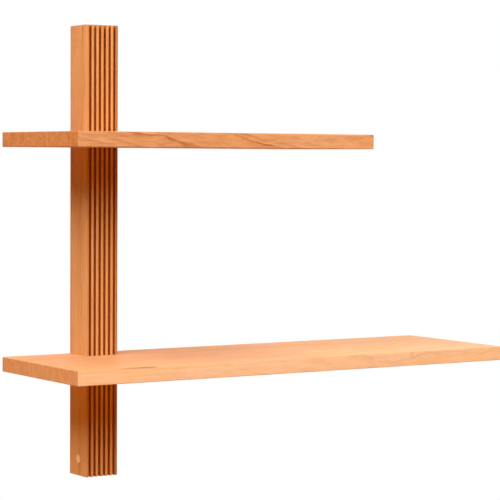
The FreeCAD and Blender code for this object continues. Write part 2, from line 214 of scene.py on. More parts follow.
def new_material(name, rows):
    """A new material, its tree and a shader whose plain sockets are set from rows."""
    material = bpy.data.materials.new(name)
    graph = empty_graph(material)
    surface = graph.add("ShaderNodeBsdfPrincipled", rows)
    graph.add("ShaderNodeOutputMaterial", {"Surface": surface})
    return material, graph, surface.socket.node


def feed(graph, shader, rows):
    """Link what changes over a surface to the shader."""
    for name, wire in rows.items():
        graph.tree.links.new(wire.socket, shader.inputs[name])


def screen_colour(red, green, blue):
    """A colour as a shader takes it, from values of 0 to 255 as a screen shows them."""
    shares = [value / 255 for value in (red, green, blue)]
    return tuple(s / 12.92 if s <= 0.04045 else ((s + 0.055) / 1.055) ** 2.4 for s in shares)


def near_edge(spot, node, width):
    """1 along the edges of a node's box and 0 further from them than width."""
    low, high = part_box(node)
    gaps = []
    for number, axis in enumerate("XYZ"):
        middle = (low[number] + high[number]) / 2
        half = (high[number] - low[number]) / 2
        gaps.append(half - abs(spot.out(axis) - middle))
    first, second, third = gaps
    to_edge = first.smallest(second).largest(first.largest(second).smallest(third))
    return 1 - to_edge.rise(0.0, width)


# Wood

class Cut(NamedTuple):
    """How a piece lies in its trunk, and how strongly it is figured.

    axes names the axis of the grain, of the width across the staves and of the thickness. pith is how far
    the middle of the trunk lies across and through. lean is how much the rings drift along the grain.
    lines, dashes and streaks say how strongly each shows. darker is how the tone changes along the grain,
    vein is where a dark vein on the front's top edge starts and stops, and slide is how far the figure is
    moved along the grain.
    """
    axes: str
    stave: float
    pith: tuple
    lean: float
    seed: int
    lines: float
    dashes: float
    streaks: float
    streak_width: float
    end_tint: tuple
    darker: float = 0.0
    vein: tuple = ()
    slide: float = 0.0


class Figure(NamedTuple):
    """A pattern in wood or metal.

    along, across and through say how often it repeats in a metre, detail and roughness how fine it is.
    move is how far it is moved from stave to stave, and weight is how much it counts.
    """
    along: float
    across: float
    through: float
    detail: float
    roughness: float
    move: float = 0.0
    weight: float = 1.0


WANDER = Figure(2.6, 16, 16, 3.0, 0.55, move=9, weight=0.016)
RIPPLE = Figure(13, 30, 30, 2.0, 0.6, move=7, weight=0.011)
UNEVEN = Figure(70, 3.7, 1.0, 2.0, 0.6, weight=1.8)
FADE = Figure(9, 22, 22, 2.0, 0.5, move=5)
FIBRE = Figure(14, 620, 620, 3.0, 0.6, weight=0.45)
STREAK = Figure(2.2, 100, 100, 3.0, 0.55, move=5)
DASH = Figure(26, 200, 200, 3.0, 0.6, move=3)
CLOUD = Figure(22, 60, 60, 2.0, 0.5, move=4, weight=0.15)
DRIFT = Figure(3, 9, 9, 2.0, 0.5, move=4, weight=0.25)
WARM = Figure(7, 30, 55, 3.0, 0.6, move=3)
PORES = Figure(90, 1500, 1500, 1.0, 0.5, weight=0.35)
SPECK = Figure(300, 160, 60, 3.0, 0.6, weight=0.8)

# Where in a year's growth the dark line and the darker band start, are full, fade and stop
LATE_LINE = (0.55, 0.9, 0.92, 1.0)
LATE_BAND = (0.0, 0.8, 0.85, 1.0)
BAND_SHARE = 0.3

# The least share of a cut's pith that a stave has and what chance adds, and the step from stave to stave
# in the draws for the rings
PITH_ACROSS = (0.85, 0.3)
PITH_THROUGH = (0.8, 0.4)
RING_CHANCE = 31

# Parts of the tone that no pattern gives
PLAIN_SHADE = 0.13
STAVE_SHADE = 0.1
LINED_CLOUD = 0.3
END_FADE = 0.6
EARLY_TINT = (1.06, 1.06, 1.06, 1.0)
WORN_TINT = (1.12, 1.1, 1.08, 1.0)
WORN_WIDTH = 0.004
WORN_SHARE = 0.1

# How squarely a face looks along an axis before it counts as an end, a front or a top
SQUARE_ON = (0.5, 0.85)
UPWARD = (0.1, 0.5)

# Lengths and shares of the vein, and of the painted shade on the ribs and in the flutes
VEIN_START = 0.04
VEIN_STOP = 0.01
VEIN_WIDTH = (0.0008, 0.0034)
VEIN_RIPPLE = 0.004
SIDE_RIB_SHADE = (0.005, 0.004)
LEFT_RIB_SHADE_SHARE = 0.4
FLUTE_EDGE = 0.0003
FLUTE_MOUTH = (0.0002, 0.001)
FLUTE_FLOOR = 0.001
FLUTE_PALER = (0.001, 0.006)
PALER_SHARE = 0.5


class Rough:
    """How rough plain wood is, and what each part of its figure adds."""
    plain = 0.52
    fibre = 0.16
    pores = 0.1
    band = -0.06
    end = 0.1
    worn = -0.08


class Raised:
    """How far each part of the figure stands up or is sunk."""
    fibre = 0.5
    band = 0.35
    pores = -0.8


def pattern(graph, figure, place, chance=None, axis=0):
    """The noise of a figure at a place. A stave's own chance moves it along one of the axes."""
    parts = [part * often for part, often in zip(place, figure)]
    if chance is not None:
        parts[axis] = parts[axis] + chance * figure.move
    return graph.noise(graph.vector(*parts), figure.detail, figure.roughness)


def flute_shade_share(spot):
    """How much painted shade falls in the post's flutes: 1 just inside them, less towards their floors,
    and 0 on the post's faces.
    """
    low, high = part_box("spine_post")
    post = bpy.context.scene.spine_bookshelf.post
    rib = (high.x - low.x - post.flutes * post.flute_width) / (post.flutes + 1)
    between = 1 - abs(spot.out("X")).rise(high.x - rib, high.x - rib + FLUTE_EDGE)
    behind = spot.out("Y") - low.y
    within = behind.hump(*FLUTE_MOUTH, post.flute_depth, post.flute_depth + FLUTE_FLOOR)
    return between * within * (1 - PALER_SHARE * behind.rise(*FLUTE_PALER))


def post_tone(graph, tone, spot, facing, end):
    """Paint shade on the post's front, on its first and last rib and inside its flutes."""
    looks = bpy.context.scene.spine_bookshelf.wood
    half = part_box("spine_post")[1].x
    x = spot.out("X")
    flute_shade = flute_shade_share(spot) * (1 - end)
    # Painted shade on the post's front faces, which makes them darker than its sides.
    front = (-facing.out("Y")).rise(*SQUARE_ON) * (1 - flute_shade)
    tone = graph.tint(front, tone, looks.painted_front_shade)
    # Painted shade on the first and last rib of the front, weaker on the left one.
    inner, outer = SIDE_RIB_SHADE
    side = abs(x).rise(half - inner, half - outer)
    side = side * (LEFT_RIB_SHADE_SHARE + (1 - LEFT_RIB_SHADE_SHARE) * x.above(0.0))
    tone = graph.tint(front * side, tone, looks.painted_side_rib_shade)
    # Painted shade inside the flutes.
    return graph.tint(flute_shade, tone, looks.painted_flute_shade)


def wood_material(name, node, colour, cut):
    """Solid wood: rings round a pith, fibres along the grain, pores, and darker end grain."""
    looks = bpy.context.scene.spine_bookshelf.wood
    material, graph, shader = new_material(name, {"Specular IOR Level": 0.03})
    place = graph.add("ShaderNodeTexCoord")
    spot = graph.split(place.out("Object"))
    u, v, w = (spot.out(axis) for axis in cut.axes)
    u = u - cut.slide
    low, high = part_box(node)

    # Each glued stave has its own pith and its own tone.
    index = (v / cut.stave).floor()
    first, second, third = graph.chance(index + cut.seed)
    flip = first.above(0.5) * 2 - 1
    least, more = PITH_ACROSS
    across = (v - (index + 0.5) * cut.stave) * flip + cut.pith[0] * (least + more * second)
    least, more = PITH_THROUGH
    through = w - low["XYZ".index(cut.axes[2])] + cut.pith[1] * (least + more * third)
    trunk = (u, across, through)
    piece = (u, v, w)

    # Rings of uneven width and strength, which wander along the trunk.
    wander = pattern(graph, WANDER, trunk, third)
    ripple = pattern(graph, RIPPLE, trunk, second)
    radius = (across * across + through * through) ** 0.5 + u * cut.lean
    radius = radius + (wander - 0.5) * WANDER.weight + (ripple - 0.5) * RIPPLE.weight
    uneven = pattern(graph, UNEVEN, (radius, index, cut.seed))
    count = radius / looks.ring_width + uneven * UNEVEN.weight
    strength = graph.chance(count.floor() + index * RING_CHANCE)[1]
    phase = count % 1.0
    fade = pattern(graph, FADE, trunk, first).rise(0.35, 0.65)
    line = phase.hump(*LATE_LINE) * strength ** 2 * fade
    band = phase.hump(*LATE_BAND) * strength

    # Fibres, pores, short dashes and slow drifts of tone.
    fine = 1 / cut.streak_width
    fibre = pattern(graph, FIBRE, piece)
    streak = pattern(graph, STREAK._replace(across=fine, through=fine), piece, third)
    dash = pattern(graph, DASH, piece, third)
    cloud = pattern(graph, CLOUD, piece, third, axis=1)
    drift = pattern(graph, DRIFT, piece, second, axis=2)
    warm = pattern(graph, WARM, piece, first).rise(0.4, 0.65)
    pores = pattern(graph, PORES, piece).rise(0.62, 0.74)

    # End grain, where the surface faces along the trunk.
    facing = graph.split(place.out("Normal"))
    end = abs(facing.out(cut.axes[0])).rise(*SQUARE_ON)
    speck = pattern(graph, SPECK, piece)

    lined = line * (1 - END_FADE * end) + band * BAND_SHARE
    shade = PLAIN_SHADE + cut.lines * lined + (first - 0.5) * STAVE_SHADE + pores * PORES.weight
    shade = shade + (streak - 0.5) * cut.streaks + (fibre - 0.5) * FIBRE.weight + (dash - 0.5) * cut.dashes
    shade = shade + (cloud - 0.5) * (CLOUD.weight + LINED_CLOUD * cut.lines) + (drift - 0.5) * DRIFT.weight
    shade = shade + end * (speck - 0.5) * SPECK.weight + u * cut.darker
    tone = graph.mix(shade, EARLY_TINT, (*looks.late_tint, 1.0))
    tone = graph.tint(warm, tone, looks.warm_tint)
    tone = graph.tint(end, tone, cut.end_tint)
    # Painted shade on the tops: the boards' tops are darkened, paler towards the right end, where a second
    # tint takes over.
    top = facing.out("Z").rise(*UPWARD) * (1 - end)
    along = spot.out("X").rise(low.x, high.x)
    above = graph.mix(along, (*looks.painted_top_shade, 1.0), (*looks.painted_top_shade_right, 1.0))
    tone = graph.mix(top, tone, above, "MULTIPLY")
    if cut.vein:
        start, stop = cut.vein
        corner = (spot.out("Y") - low.y).largest(high.z - spot.out("Z")) + (ripple - 0.5) * VEIN_RIPPLE
        vein = u.hump(start, start + VEIN_START, stop - VEIN_STOP, stop) * (1 - corner.rise(*VEIN_WIDTH))
        tone = graph.tint(vein, tone, looks.vein_tint)
    if node == "spine_post":
        tone = post_tone(graph, tone, spot, facing, end)
    worn = near_edge(spot, node, WORN_WIDTH) * (0.35 + 0.65 * cloud)
    tone = graph.mix(worn * WORN_SHARE, tone, WORN_TINT)
    finish = graph.mix(1.0, (*colour, 1.0), tone, "MULTIPLY")

    height = fibre * Raised.fibre + band * Raised.band + pores * Raised.pores
    bump = graph.add("ShaderNodeBump", {"Strength": 0.3, "Distance": 0.00025, "Height": height})
    rough = Rough.plain + (fibre - 0.5) * Rough.fibre + pores * Rough.pores + band * Rough.band
    rough = rough + end * Rough.end + worn * Rough.worn
    feed(graph, shader, {"Base Color": finish, "Roughness": rough, "Normal": bump})
    return material


# Metal

DARK_METAL = 0.62
SCRATCH = Figure(160, 2400, 2400, 2.0, 0.6)
DULL = Figure(130, 130, 130, 4.0, 0.6)


def metal_material(name, colour, roughness, grains, contrast):
    """Plated or bare metal: crystal grains, fine scratches and duller patches."""
    material, graph, shader = new_material(name, {"Metallic": 1.0})
    place = graph.add("ShaderNodeTexCoord").out("Object")
    cells = graph.add("ShaderNodeTexVoronoi", {"Vector": place, "Scale": grains}).out("Color")
    grain = graph.add("ShaderNodeSeparateColor", {0: cells})
    spot = graph.split(place)
    axes = [spot.out(axis) for axis in "XYZ"]
    scratch = pattern(graph, SCRATCH, axes)
    dull = pattern(graph, DULL, axes)
    shade = 0.5 + (grain - 0.5) * contrast + (dull - 0.5) * 0.5 + (scratch - 0.5) * 0.2
    dark = tuple(DARK_METAL * part for part in colour)
    finish = graph.mix(shade, (*dark, 1.0), (*colour, 1.0))
    bump = graph.add("ShaderNodeBump", {"Strength": 0.2, "Distance": 0.0001, "Height": scratch + dull})
    rough = roughness + (dull - 0.5) * 0.3 + (grain - 0.5) * contrast * 0.2
    feed(graph, shader, {"Base Color": finish, "Roughness": rough, "Normal": bump})
    return material


# Pieces

def put_on(node, material):
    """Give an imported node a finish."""
    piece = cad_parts[node]
    piece.data.materials.clear()
    piece.data.materials.append(material)


def new_tree(name, **rows):
    """A Geometry Nodes tree. rows names its inputs by kind. Gives the tree, its graph and its inputs."""
    tree = bpy.data.node_groups.new(name, "GeometryNodeTree")
    for kind, labels in {**rows, "Material": ("Material",)}.items():
        for label in labels:
            tree.interface.new_socket(name=label, in_out="INPUT", socket_type=f"NodeSocket{kind}")
    tree.interface.new_socket(name="Geometry", in_out="OUTPUT", socket_type="NodeSocketGeometry")
    graph = Graph(tree)
    given = graph.add("NodeGroupInput")
    return tree, graph, given.out


def end_tree(graph, given, geometry):
    """Finish a tree: plain mesh with the finish that was handed in."""
    plain = graph.add("GeometryNodeRealizeInstances", {"Geometry": geometry})
    painted = graph.add("GeometryNodeSetMaterial", {"Geometry": plain, "Material": given("Material")})
    graph.add("NodeGroupOutput", {"Geometry": painted})


def grow(name, tree, values, nodes):
    """Run a tree once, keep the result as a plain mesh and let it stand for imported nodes."""
    piece = bpy.data.objects.new(name, bpy.data.meshes.new(name))
    bpy.context.scene.collection.objects.link(piece)
    shape = piece.modifiers.new("shape", "NODES")
    shape.node_group = tree
    for item in tree.interface.items_tree:
        if item.in_out == "INPUT":
            shape[item.identifier] = values[item.name]
    made = piece.evaluated_get(bpy.context.evaluated_depsgraph_get())
    mesh = bpy.data.meshes.new_from_object(made)
    piece.modifiers.clear()
    piece.data = mesh
    if not mesh.polygons:
        raise RuntimeError(f"{name} came out empty")
    mesh.shade_smooth()
    mesh.set_sharp_from_angle(angle=SHARP_ANGLE)
    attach(piece, BODY)
    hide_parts(*nodes)


def middle_of(node):
    """The middle of a node's box."""
    low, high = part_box(node)
    return (low + high) / 2


# Post

# Play round the washers and the plug, and how the ends and corners are eased
WASHER_PLAY = 0.001
PLUG_PLAY = 0.0001
END_SCALE = 0.975
ROUND_STEPS = 3
WELD = 1e-6


def block(graph, low, high):
    """A block between two corners."""
    size = tuple(b - a for a, b in zip(low, high))
    middle = tuple((a + b) / 2 for a, b in zip(low, high))
    return graph.move(graph.add("GeometryNodeMeshCube", {"Size": size}), middle)


def drill(graph, axis, start, stop, spot, radius):
    """A rod along X or Y between two places. spot is where it stands on the other two axes."""
    rod = graph.add("GeometryNodeMeshCylinder", {
        "Vertices": ROUND_SIDES, "Radius": radius, "Depth": stop - start})
    middle = (start + stop) / 2
    if axis == "X":
        return graph.move(rod, (middle, *spot), (0.0, math.pi / 2, 0.0))
    return graph.move(rod, (spot[0], middle, spot[1]), (math.pi / 2, 0.0, 0.0))


def board_cutters(graph):
    """The boards' housings round the post, and the holes for their bolts."""
    low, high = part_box("spine_post")
    post = bpy.context.scene.spine_bookshelf.post
    side = high.x - post.housing_depth
    front = low.y + post.flute_depth
    far = WELL_CLEAR
    cutters = []
    for board, level in zip(BOARDS, LEVELS):
        middle = middle_of(board).z
        bottom, top = middle - post.housing_height / 2, middle + post.housing_height / 2
        cutters.append(block(graph, (-far, -far, bottom), (-side, far, top)))
        cutters.append(block(graph, (side, -far, bottom), (far, far, top)))
        cutters.append(block(graph, (-far, -far, bottom), (far, front, top)))
        for hand in SIDES:
            washer = f"{level}_{hand}_washer"
            seat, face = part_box(washer)
            spot = (middle_of(washer).x, middle)
            cutters.append(drill(graph, "Y", seat.y, far, spot, (face.x - seat.x) / 2 + WASHER_PLAY))
            cutters.append(drill(graph, "Y", -far, far, spot, post.bolt_hole / 2))
    return cutters


def wall_cutters(graph):
    """The recesses for the clips and the bracket behind the post, with the holes for their screws."""
    post = bpy.context.scene.spine_bookshelf.post
    far = WELL_CLEAR
    play = post.recess_play
    start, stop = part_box("spine_clip")
    seat = start.y
    cutters = [block(graph, (start.x - play, seat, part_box("wall_clip")[0].z - post.lift - play),
                     (stop.x + play, far, stop.z + play))]
    for hand in SIDES:
        screw = f"{hand}_clip_screw"
        tip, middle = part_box(screw)[0].y, middle_of(screw)
        cutters.append(drill(graph, "Y", tip - play, far, (middle.x, middle.z), post.pilot_hole / 2))
    start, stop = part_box("lower_wall_bracket")
    bottom, top = start.z - post.lift - play, stop.z + play
    web = post.web_slot / 2
    cutters.append(block(graph, (start.x - play, seat, bottom), (stop.x + play, far, top)))
    cutters.append(block(graph, (-web, start.y - play, bottom), (web, far, top)))
    start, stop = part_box("screw_plug")
    lock_start, lock_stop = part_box("locking_screw")
    middle = middle_of("screw_plug")
    spot = (middle.y, middle.z)
    floor = lock_start.x + bpy.context.scene.spine_bookshelf.metal.lock_head_height
    cutters.append(drill(graph, "X", -far, floor, spot, (stop.y - start.y) / 2 + PLUG_PLAY))
    cutters.append(drill(graph, "X", -far, lock_stop.x + play, spot, post.bolt_hole / 2))
    return cutters


def eased_end(graph, mesh, faces, rise, depth, level):
    """Carry the post's end on by a small chamfer, up to a level."""
    end = graph.add("GeometryNodeExtrudeMesh", {
        "Mesh": mesh, "Selection": faces, "Offset": graph.vector(0.0, 0.0, rise)})
    return graph.add("GeometryNodeScaleElements", {
        "Geometry": end, "Selection": end.out("Top"), "Scale": END_SCALE,
        "Center": graph.vector(0.0, depth * -0.5, level)}, domain="FACE")


def post_tree():
    """The fluted post: a rounded outline, raised, eased at both ends and cut for its joints."""
    tree, graph, given = new_tree("Fluted post", Int=("Flutes",), Float=(
        "Width", "Depth", "Height", "Flute Width", "Flute Depth",
        "Corner Round", "Mouth Round", "End Ease"))
    width, depth, height, flutes = (given(name) for name in ("Width", "Depth", "Height", "Flutes"))
    groove, deep, ease = given("Flute Width"), given("Flute Depth"), given("End Ease")
    rib = (width - flutes * groove) / (flutes + 1)
    last = flutes * 4 + 3

    # Four points go to each flute. The first and last two points are the post's corners.
    index = graph.add("GeometryNodeInputIndex")
    step = index - 2
    corner = step % 4
    inner = abs(corner - 1.5).below(1.0)
    back = index.below(0.5) + index.above(last - 0.5)
    outer = index.below(1.5) + index.above(last - 1.5)
    x = (step / 4).floor() * (rib + groove) + rib - width / 2 + corner.above(1.5) * groove
    y = inner * (deep + back * (depth - deep)) - depth
    line = graph.add("GeometryNodeResampleCurve", {
        "Curve": graph.add("GeometryNodeCurvePrimitiveLine"), "Count": last + 1}, mode="COUNT")
    path = graph.add("GeometryNodeSetPosition", {
        "Geometry": line, "Position": graph.vector(x, y, 0.0)})
    path = graph.add("GeometryNodeSetSplineCyclic", {"Geometry": path, "Cyclic": True})
    radius = outer * given("Corner Round") + (1 - outer) * (1 - inner * 0.5) * given("Mouth Round")
    path = graph.add("GeometryNodeFilletCurve", {
        "Curve": path, "Count": ROUND_STEPS, "Radius": radius, "Limit Radius": True}, mode="POLY")
    plan = graph.add("GeometryNodeFillCurve", {"Curve": path}, mode="NGONS")

    # Raised in two steps, the last of which draws in a little.
    foot = graph.move(plan, graph.vector(0.0, 0.0, ease - height / 2))
    wall = graph.add("GeometryNodeExtrudeMesh", {
        "Mesh": foot, "Offset": graph.vector(0.0, 0.0, height - ease * 2)})
    top = eased_end(graph, wall, wall.out("Top"), ease, depth, height / 2)
    under = graph.add("GeometryNodeFlipFaces", {"Mesh": foot})
    under = eased_end(graph, under, True, -ease, depth, height * -0.5)
    whole = graph.add("GeometryNodeMergeByDistance", {
        "Geometry": graph.join(top, under), "Distance": WELD})
    end_tree(graph, given, graph.cut(whole, board_cutters(graph) + wall_cutters(graph)))
    return tree


class SPINE_OT_post(bpy.types.Operator):
    """Build the fluted post and finish the plug in its side"""
    bl_idname = "spine_bookshelf.post"
    bl_label = "Fluted post and plug"

    def execute(self, context):
        post = context.scene.spine_bookshelf.post
        looks = context.scene.spine_bookshelf.wood
        low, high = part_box("spine_post")
        cut = Cut(axes="ZYX", stave=0.5, pith=(0.16, 0.05), lean=0.004, seed=40, lines=0.35, dashes=0.3,
                  streaks=0.9, streak_width=0.02, end_tint=looks.upper_end, darker=0.35)
        finish = wood_material("post_wood", "spine_post", looks.post, cut)
        grow("fluted_post", post_tree(), {
            "Width": high.x - low.x, "Depth": high.y - low.y, "Height": high.z - low.z,
            "Flutes": post.flutes, "Flute Width": post.flute_width, "Flute Depth": post.flute_depth,
            "Corner Round": post.corner_round, "Mouth Round": post.mouth_round, "End Ease": post.end_ease,
            "Material": finish}, ["spine_post"])
        cut = Cut(axes="ZYX", stave=0.5, pith=(0.1, 0.05), lean=0.01, seed=47, lines=0.3, dashes=0.2,
                  streaks=0.3, streak_width=0.01, end_tint=looks.upper_end)
        finish = wood_material("plug_wood", "screw_plug", looks.plug, cut)
        put_on("screw_plug", finish)
        return {"FINISHED"}


class SPINE_OT_boards(bpy.types.Operator):
    """Finish the two boards"""
    bl_idname = "spine_bookshelf.boards"
    bl_label = "Boards"

    def execute(self, context):
        looks = context.scene.spine_bookshelf.wood
        low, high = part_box("upper_shelf")
        upper = Cut(axes="XYZ", stave=(high.y - low.y) / looks.staves, pith=(0.18, 0.05), lean=0.088,
                    seed=6, lines=1.2, dashes=1.3, streaks=0.45, streak_width=0.01,
                    end_tint=looks.upper_end, slide=0.036)
        lower = upper._replace(lean=0.008, seed=14, lines=0.25, dashes=0.5, end_tint=looks.lower_end,
                               vein=(-0.1, -0.012), slide=0.0)
        for node, colour, cut in zip(BOARDS, (looks.upper, looks.lower), (upper, lower)):
            put_on(node, wood_material(f"{node}_wood", node, colour, cut))
        return {"FINISHED"}


# Hardware

# Points round a knurled head, and parts of a screw as shares of its head, pitch, rod or length
KNURLS = 72
KNURL_DEPTH = 0.045
CAP_SHARE = 0.96
RIDGE_SHARE = 0.42
CORE_SHARE = 0.7
NECK_SHARE = 0.35
CROSS_REACH = 2.2
TIP_SHARE = 0.05


def turned(graph, low_radius, high_radius, low, high):
    """A round bar or cone that stands on Z."""
    bar = graph.add("GeometryNodeMeshCone", {
        "Vertices": ROUND_SIDES, "Depth": high - low,
        "Radius Bottom": low_radius, "Radius Top": high_radius})
    return graph.move(bar, graph.vector(0.0, 0.0, low))


def thread(graph, radius, pitch, low, length):
    """A ridge that winds up a bar."""
    helix = graph.add("GeometryNodeCurveSpiral", {
        "Resolution": 16, "Rotations": length / pitch, "Start Radius": radius, "End Radius": radius,
        "Height": length})
    ridge = graph.add("GeometryNodeCurvePrimitiveCircle", {
        "Resolution": 4, "Radius": pitch * RIDGE_SHARE})
    wound = graph.add("GeometryNodeCurveToMesh", {
        "Curve": helix, "Profile Curve": ridge, "Fill Caps": True})
    return graph.move(wound, graph.vector(0.0, 0.0, low))


def screw_tree(name, *lengths):
    """A tree for screws in rows, with the lengths that one screw takes."""
    return new_tree(name, Int=("Columns", "Rows"), Float=(*lengths, "Column Spacing", "Row Spacing"),
                    Vector=("Place",), Rotation=("Turn",))


def rows_of(graph, given, item):
    """Copies of an item in columns along X and rows along Z, all turned the same way."""
    columns = graph.add("GeometryNodeMeshLine", {
        "Count": given("Columns"), "Start Location": given("Place"),
        "Offset": graph.vector(given("Column Spacing"), 0.0, 0.0)})
    rows = graph.add("GeometryNodeMeshLine", {
        "Count": given("Rows"), "Offset": graph.vector(0.0, 0.0, given("Row Spacing"))})
    points = graph.add("GeometryNodeInstanceOnPoints", {"Points": rows, "Instance": columns})
    points = graph.add("GeometryNodeRealizeInstances", {"Geometry": points})
    return graph.add("GeometryNodeInstanceOnPoints", {
        "Points": points, "Instance": item, "Rotation": given("Turn")})


def socket_screw_tree():
    """Socket screws with knurled heads. Each stands on its seat with the head up."""
    tree, graph, given = screw_tree("Socket screws", "Head Diameter", "Head Height", "Diameter", "Length",
                                    "Pitch", "Thread Length", "Key", "Key Depth")
    head, tall, rod = given("Head Diameter") / 2, given("Head Height"), given("Diameter") / 2
    long, pitch, threaded = given("Length"), given("Pitch"), given("Thread Length")
    ease = pitch * 0.5
    side = tall - ease

    # Every other point of the head's side is drawn in, which makes the knurls.
    knurled = graph.add("GeometryNodeMeshCylinder", {
        "Vertices": KNURLS, "Radius": head, "Depth": side})
    knurled = graph.move(knurled, graph.vector(0.0, 0.0, side / 2))
    here = graph.split(graph.add("GeometryNodeInputPosition"))
    share = 1 - graph.add("GeometryNodeInputIndex") % 2 * KNURL_DEPTH
    knurled = graph.add("GeometryNodeSetPosition", {
        "Geometry": knurled,
        "Position": graph.vector(here.out("X") * share, here.out("Y") * share, here.out("Z"))})
    cap = turned(graph, head * CAP_SHARE, head - ease, side - ease, tall)
    hexagon = graph.add("GeometryNodeMeshCylinder", {
        "Vertices": 6, "Radius": given("Key") / math.sqrt(3), "Depth": given("Key Depth") * 2})
    hexagon = graph.move(hexagon, graph.vector(0.0, 0.0, tall))
    core = rod - pitch * RIDGE_SHARE
    plain = turned(graph, rod, rod, threaded - long, 0.0)
    cored = turned(graph, core, core, ease - long, threaded - long)
    tip = turned(graph, core - ease, core, -long, ease - long)
    ridge = thread(graph, core, pitch, ease * 1.5 - long, threaded - ease * 2)
    screw = graph.join(graph.cut(knurled, hexagon), graph.cut(cap, hexagon), plain, cored, tip, ridge)
    end_tree(graph, given, rows_of(graph, given, screw))
    return tree


def wood_screw_tree():
    """Countersunk wood screws with a cross in the head. Each has its head's face at zero, facing up."""
    tree, graph, given = screw_tree("Wood screws", "Head Diameter", "Diameter", "Length", "Point", "Pitch",
                                    "Cross")
    head, rod, long = given("Head Diameter") / 2, given("Diameter") / 2, given("Length")
    point, pitch, cross = given("Point"), given("Pitch"), given("Cross")
    core = rod * CORE_SHARE
    neck = long * -NECK_SHARE
    reach = rod * CROSS_REACH
    wing = graph.add("GeometryNodeMeshCube", {"Size": graph.vector(reach, cross, cross * 2)})
    other = graph.add("GeometryNodeMeshCube", {"Size": graph.vector(cross, reach, cross * 2)})
    top = graph.cut(turned(graph, rod, head, rod - head, 0.0), [wing, other])
    plain = turned(graph, rod, rod, neck, rod - head)
    cored = turned(graph, core, core, point - long, neck)
    tip = turned(graph, core * TIP_SHARE, core, -long, point - long)
    ridge = thread(graph, core, pitch, point - long, long - point + neck)
    screw = graph.join(top, plain, cored, tip, ridge)
    end_tree(graph, given, rows_of(graph, given, screw))
    return tree


class SPINE_OT_screws(bpy.types.Operator):
    """Build the shelf bolts, the locking screw and the clip screws"""
    bl_idname = "spine_bookshelf.screws"
    bl_label = "Screws"

    def execute(self, context):
        looks = context.scene.spine_bookshelf.metal
        zinc = metal_material("screw_zinc", looks.zinc, roughness=0.3, grains=700.0, contrast=0.25)
        socket_screws = socket_screw_tree()
        head_back = (-math.pi / 2, 0.0, 0.0)
        head_left = (0.0, -math.pi / 2, 0.0)
        bolts = [f"{level}_{hand}_bolt" for level in LEVELS for hand in SIDES]
        first, beside = middle_of("lower_left_bolt"), middle_of("lower_right_bolt")
        low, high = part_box("lower_left_bolt")
        seat = high.y - looks.bolt_head_height
        grow("shelf_bolts", socket_screws, {
            "Head Diameter": high.x - low.x, "Head Height": looks.bolt_head_height,
            "Diameter": looks.bolt_diameter, "Length": seat - low.y, "Pitch": looks.bolt_pitch,
            "Thread Length": 0.024, "Key": 0.005, "Key Depth": 0.003,
            "Columns": 2, "Rows": 2, "Column Spacing": beside.x - first.x,
            "Row Spacing": middle_of("upper_left_bolt").z - first.z,
            "Place": (first.x, seat, first.z), "Turn": head_back, "Material": zinc},
            bolts)
        low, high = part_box("locking_screw")
        first = middle_of("locking_screw")
        seat = low.x + looks.lock_head_height
        grow("locking_bolt", socket_screws, {
            "Head Diameter": high.y - low.y, "Head Height": looks.lock_head_height,
            "Diameter": looks.bolt_diameter, "Length": high.x - seat, "Pitch": looks.bolt_pitch,
            "Thread Length": 0.018, "Key": 0.004, "Key Depth": 0.0025,
            "Columns": 1, "Rows": 1, "Column Spacing": 0.0, "Row Spacing": 0.0,
            "Place": (seat, first.y, first.z), "Turn": head_left, "Material": zinc},
            ["locking_screw"])
        low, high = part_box("left_clip_screw")
        first, beside = middle_of("left_clip_screw"), middle_of("right_clip_screw")
        grow("clip_screws", wood_screw_tree(), {
            "Head Diameter": high.x - low.x, "Diameter": looks.clip_screw_diameter,
            "Length": high.y - low.y, "Point": 0.005, "Pitch": looks.clip_screw_pitch, "Cross": 0.0011,
            "Columns": 2, "Rows": 1, "Column Spacing": beside.x - first.x, "Row Spacing": 0.0,
            "Place": (first.x, high.y, first.z), "Turn": head_back, "Material": zinc},
            ["left_clip_screw", "right_clip_screw"])
        return {"FINISHED"}


class SPINE_OT_fittings(bpy.types.Operator):
    """Finish the washers, inserts, clips and the bracket"""
    bl_idname = "spine_bookshelf.fittings"
    bl_label = "Washers, inserts, clips and bracket"

    def execute(self, context):
        looks = context.scene.spine_bookshelf.metal
        zinc = metal_material("washer_zinc", looks.zinc, roughness=0.34, grains=500.0, contrast=0.3)
        brass = metal_material("insert_brass", looks.brass, roughness=0.3, grains=600.0, contrast=0.2)
        galvanised = metal_material("galvanised_sheet", looks.galvanised, roughness=0.42, grains=160.0,
                                    contrast=0.8)
        for level in LEVELS:
            for hand in SIDES:
                put_on(f"{level}_{hand}_washer", zinc)
                put_on(f"{level}_{hand}_insert", brass)
        for node in ("wall_clip", "spine_clip", "lower_wall_bracket"):
            put_on(node, galvanised)
        return {"FINISHED"}


# Studio

WHITE = (1.0, 1.0, 1.0, 1.0)

# The floor's two tones, how fine they are, and how white it looks nearby and further off
FLOOR_DARK = (0.5, 0.49, 0.47, 1.0)
FLOOR_PALE = (0.58, 0.57, 0.55, 1.0)
FLOOR_GRAIN = (9.0, 9.0, 9.0)
FLOOR_WHITE = 0.8
FLOOR_FADE = (1.6, 3.2)


def camera_place(studio):
    """The camera's place and turn, from the angles that it looks along."""
    turn, drop, roll = studio.azimuth, studio.elevation, studio.roll
    ahead = Vector((math.sin(turn) * math.cos(drop), math.cos(turn) * math.cos(drop), -math.sin(drop)))
    right = Vector((math.cos(turn), -math.sin(turn), 0))
    above = right.cross(ahead)
    side = right * math.cos(roll) + above * math.sin(roll)
    top = above * math.cos(roll) - right * math.sin(roll)
    place = Vector(studio.target) - ahead * studio.distance
    axes = Matrix((side, top, -ahead)).transposed().to_4x4()
    return Matrix.Translation(place) @ axes


